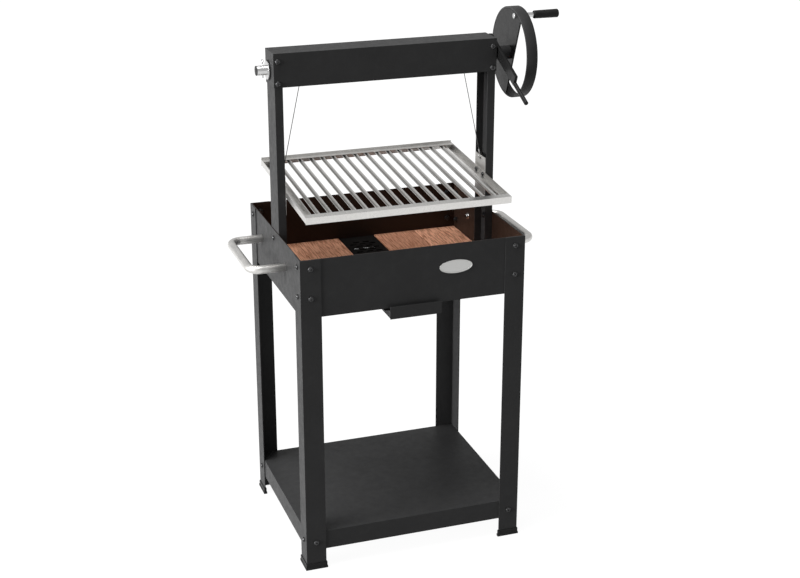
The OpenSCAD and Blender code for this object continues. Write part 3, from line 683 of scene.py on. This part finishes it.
class GRILL_OT_ropes(bpy.types.Operator):
    """Hanging ropes and their turns on the shaft"""

    bl_idname = "grill.ropes"
    bl_label = "Wire Ropes"

    def hanging(self, name, top, low, radius, material):
        """A straight rope from its upper ring at the shaft to its lower ring at the grate."""
        bm = bmesh.new()
        bmesh.ops.create_cone(
            bm, cap_ends=False, segments=20, radius1=radius, radius2=radius, depth=(top - low).length
        )
        unwrap = bm.loops.layers.uv.new("rope")
        turns = (top - low).length / 0.0135
        for face in bm.faces:
            face.smooth = True
            angles = [math.atan2(l.vert.co.y, l.vert.co.x) / (2 * math.pi) % 1.0 for l in face.loops]
            wrap = max(angles) - min(angles) > 0.5
            for loop, a in zip(face.loops, angles):
                a = a + 1.0 if wrap and a < 0.5 else a
                loop[unwrap].uv = (a * 6.0, turns * 6.0 if loop.vert.co.z > 0 else 0.0)
        turn = (top - low).to_track_quat("Z", "Y").to_matrix().to_4x4()
        bm.transform(Matrix.Translation((top + low) / 2) @ turn)
        piece = finished_piece(name + "_finish", bm, None, material, name)
        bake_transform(piece)
        return piece

    def wound(self, node, side, radius, material):
        """Turns of rope laid side by side along the shaft by a screw sweep."""
        lo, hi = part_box(node)
        centre = (lo + hi) / 2
        reach = (hi.z - lo.z) / 2 - radius
        turns = 6
        pitch = (hi.x - lo.x - 2 * radius) / (turns - 1)
        bm = bmesh.new()
        ring = bmesh.ops.create_circle(bm, cap_ends=False, segments=10, radius=radius)["verts"]
        start = Vector((lo.x + radius, centre.y - reach, centre.z))
        bmesh.ops.translate(bm, vec=start, verts=ring)
        steps = 36 * (turns - 1)
        bmesh.ops.spin(
            bm, geom=ring + list(bm.edges), cent=centre, axis=(1, 0, 0),
            dvec=(pitch / 36, 0, 0), angle=2 * math.pi * (turns - 1), steps=steps, use_merge=False,
        )
        ends = [e for e in bm.edges if len(e.link_faces) == 1]
        bmesh.ops.holes_fill(bm, edges=ends, sides=0)
        bmesh.ops.recalc_face_normals(bm, faces=bm.faces)
        unwrap = bm.loops.layers.uv.new("rope")
        for face in bm.faces:
            face.smooth = True
            for loop in face.loops:
                c = loop.vert.co - centre
                around = math.atan2(c.z, c.y) / (2 * math.pi)
                loop[unwrap].uv = (around * 38.0, (math.hypot(c.y, c.z) - reach) / radius * 1.5)
        return finished_piece(node + "_finish", bm, BODY_OF[node], material, node)

    def execute(self, context):
        rope = twisted_rope("twisted_rope", context.scene.grill_metal.rope_tone)
        for side, name in ((-1, "left_rope"), (1, "right_rope")):
            lo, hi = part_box(name)
            radius = (hi.y - lo.y) / 2
            y = (lo.y + hi.y) / 2
            inner, outer = (hi.x, lo.x) if side < 0 else (lo.x, hi.x)
            top = Vector((inner + side * radius, y, hi.z - radius * 0.2))
            low = Vector((outer - side * radius, y, lo.z + radius * 0.2))
            self.hanging(name, top, low, radius, rope)
            self.wound(name + "_coil", side, radius, rope)
        return {"FINISHED"}


class GRILL_OT_studio(bpy.types.Operator):
    """Bright floor, two soft lamps and the camera"""

    bl_idname = "grill.studio"
    bl_label = "Studio"

    def lamp(self, name, power, height, ahead):
        """A soft lamp far to the left, at an angle above the floor and an angle towards the front."""
        data = bpy.data.lights.new(name, "SUN")
        data.energy = power
        data.angle = math.radians(34)
        way = Vector((-math.cos(height) * math.cos(ahead), -math.cos(height) * math.sin(ahead), math.sin(height)))
        lamp = bpy.data.objects.new(name, data)
        lamp.location = MIDDLE + 4.0 * way
        lamp.rotation_euler = way.to_track_quat("Z", "Y").to_euler()
        bpy.context.scene.collection.objects.link(lamp)

    def floor(self, tone):
        bm = bmesh.new()
        bmesh.ops.create_grid(bm, x_segments=2, y_segments=2, size=60.0)
        bmesh.ops.translate(bm, vec=(0, 0, -0.0005), verts=bm.verts)
        f = Finish("studio_floor")
        f.colour(f.blend(f.noise(3.0), shade(tone, 0.10), shade(tone, 0.11)))
        f.set(Roughness=0.9, Specular_IOR_Level=0.0)
        f.set(Emission_Color=(1.0, 1.0, 1.0, 1.0), Emission_Strength=0.96)
        floor = finished_piece("studio_floor", bm, None, f.material)
        floor.visible_diffuse = False

    def execute(self, context):
        studio = context.scene.grill_studio
        scene = context.scene
        self.floor(studio.floor_tone)
        self.lamp("side_sun", studio.key_power, math.radians(12.0), math.radians(5.0))
        self.lamp("top_sun", studio.top_power, math.radians(72.0), math.radians(5.0))
        world = bpy.data.worlds.new("studio_world")
        world.use_nodes = True
        nodes, links = world.node_tree.nodes, world.node_tree.links
        back = nodes["Background"]
        back.inputs["Color"].default_value = (1.0, 1.0, 1.0, 1.0)
        # Bare metal mirrors bright walls, which light the room only a little
        ray = nodes.new("ShaderNodeLightPath")
        walls = nodes.new("ShaderNodeMapRange")
        walls.inputs["To Min"].default_value = studio.room_power
        walls.inputs["To Max"].default_value = studio.wall_power
        links.new(ray.outputs["Is Glossy Ray"], walls.inputs["Value"])
        links.new(walls.outputs["Result"], back.inputs["Strength"])
        scene.world = world
        camera = bpy.data.cameras.new("camera")
        camera.lens = studio.lens
        camera.sensor_width = 36.0
        camera.sensor_fit = "HORIZONTAL"
        camera.shift_x = -0.0006
        camera.shift_y = -0.0028
        camera.clip_end = 200.0
        shot = bpy.data.objects.new("camera", camera)
        shot.location = MIDDLE + Vector((-1.22983, -3.68656, 2.15149))
        shot.rotation_euler = (math.radians(69.27), 0.0, math.radians(-19.12))
        scene.collection.objects.link(shot)
        scene.camera = shot
        scene.view_settings.view_transform = "Standard"
        scene.view_settings.look = "None"
        scene.view_settings.exposure = 0.0
        return {"FINISHED"}


# ---- Panel and registration ----

STEPS = (
    GRILL_OT_coated_sheet, GRILL_OT_fire_floor, GRILL_OT_bricks, GRILL_OT_stainless, GRILL_OT_hardware,
    GRILL_OT_plastic, GRILL_OT_brake_lining, GRILL_OT_badge, GRILL_OT_ropes, GRILL_OT_studio,
)
SETTINGS = {
    "grill_coating": GRILL_PG_coating,
    "grill_metal": GRILL_PG_metal,
    "grill_bricks": GRILL_PG_bricks,
    "grill_studio": GRILL_PG_studio,
}


class GRILL_PT_main(bpy.types.Panel):
    """Lists the grill's pieces and their sizes and colours"""

    bl_idname = "GRILL_PT_main"
    bl_label = "Winch Grill"
    bl_space_type = "VIEW_3D"
    bl_region_type = "UI"
    bl_category = "Grill"

    def draw(self, context):
        for name, group in SETTINGS.items():
            box = self.layout.box()
            box.label(text=(group.__doc__ or name).strip())
            for key in group.__annotations__:
                box.prop(getattr(context.scene, name), key)
        for step in STEPS:
            self.layout.operator(step.bl_idname)


def register():
    for group in SETTINGS.values():
        bpy.utils.register_class(group)
    for step in STEPS:
        bpy.utils.register_class(step)
    bpy.utils.register_class(GRILL_PT_main)
    for name, group in SETTINGS.items():
        setattr(bpy.types.Scene, name, bpy.props.PointerProperty(type=group))


def unregister():
    for name in SETTINGS:
        delattr(bpy.types.Scene, name)
    bpy.utils.unregister_class(GRILL_PT_main)
    for step in reversed(STEPS):
        bpy.utils.unregister_class(step)
    for group in SETTINGS.values():
        bpy.utils.unregister_class(group)


def main():
    register()
    bpy.ops.grill.coated_sheet()
    bpy.ops.grill.fire_floor()
    bpy.ops.grill.bricks()
    bpy.ops.grill.stainless()
    bpy.ops.grill.hardware()
    bpy.ops.grill.plastic()
    bpy.ops.grill.brake_lining()
    bpy.ops.grill.badge()
    bpy.ops.grill.ropes()
    bpy.ops.grill.studio()


if __name__ == "__main__":
    main()
